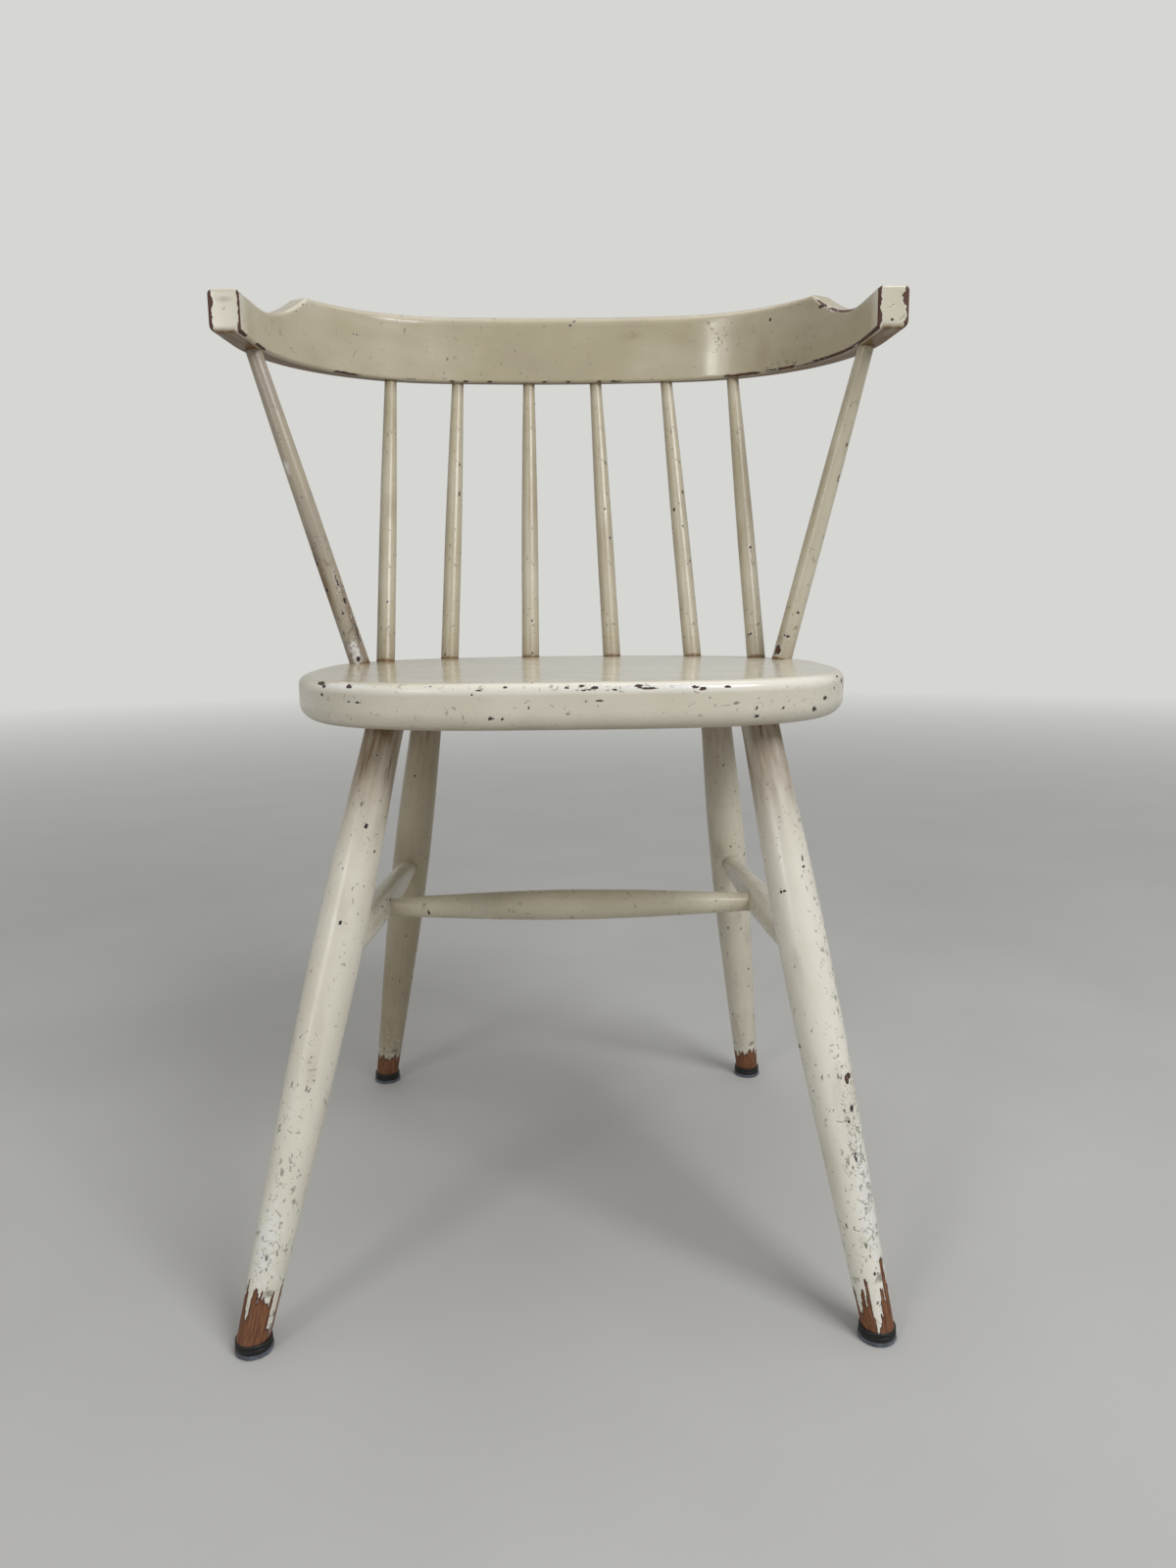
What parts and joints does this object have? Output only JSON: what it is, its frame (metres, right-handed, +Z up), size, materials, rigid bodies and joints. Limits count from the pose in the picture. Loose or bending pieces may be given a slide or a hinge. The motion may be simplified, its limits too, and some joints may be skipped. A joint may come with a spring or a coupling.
{
  "type": "spindle-back chair",
  "caption": "Worn painted wooden chair: board seat, splayed turned legs with an H stretcher, spindle back and a low bent crest rail that ends in short arms.",
  "frame": {"origin": "the middle of the chair's overall box, on the floor", "axes": "+Z up, the chair faces -Y, +X to the right as seen from the front"},
  "size_m": [0.5804, 0.5302, 0.7855],
  "materials": {
    "painted_wood": "aged ivory gloss paint over beech, chipped and worn through to brown wood at edges and feet",
    "black_plastic": "black moulded plastic, dusty and scuffed",
    "nail_steel": "plain steel",
    "felt": "grey-blue pressed felt, frayed at its rim"
  },
  "bodies": {
    "root": {"seat": "painted_wood", "crest_rail": "painted_wood", "spindle_1": "painted_wood", "spindle_2": "painted_wood", "spindle_3": "painted_wood", "spindle_4": "painted_wood", "spindle_5": "painted_wood", "spindle_6": "painted_wood", "spindle_7": "painted_wood", "spindle_8": "painted_wood", "leg_front_left": "painted_wood", "leg_front_right": "painted_wood", "leg_rear_left": "painted_wood", "leg_rear_right": "painted_wood", "stretcher_left": "painted_wood", "stretcher_right": "painted_wood", "stretcher_cross": "painted_wood", "glide_cap_front_left": "black_plastic", "glide_cap_front_right": "black_plastic", "glide_cap_rear_left": "black_plastic", "glide_cap_rear_right": "black_plastic", "glide_nail_front_left": "nail_steel", "glide_nail_front_right": "nail_steel", "glide_nail_rear_left": "nail_steel", "glide_nail_rear_right": "nail_steel", "felt_pad_front_left": "felt", "felt_pad_front_right": "felt", "felt_pad_rear_left": "felt", "felt_pad_rear_right": "felt"}
  },
  "joints": []
}
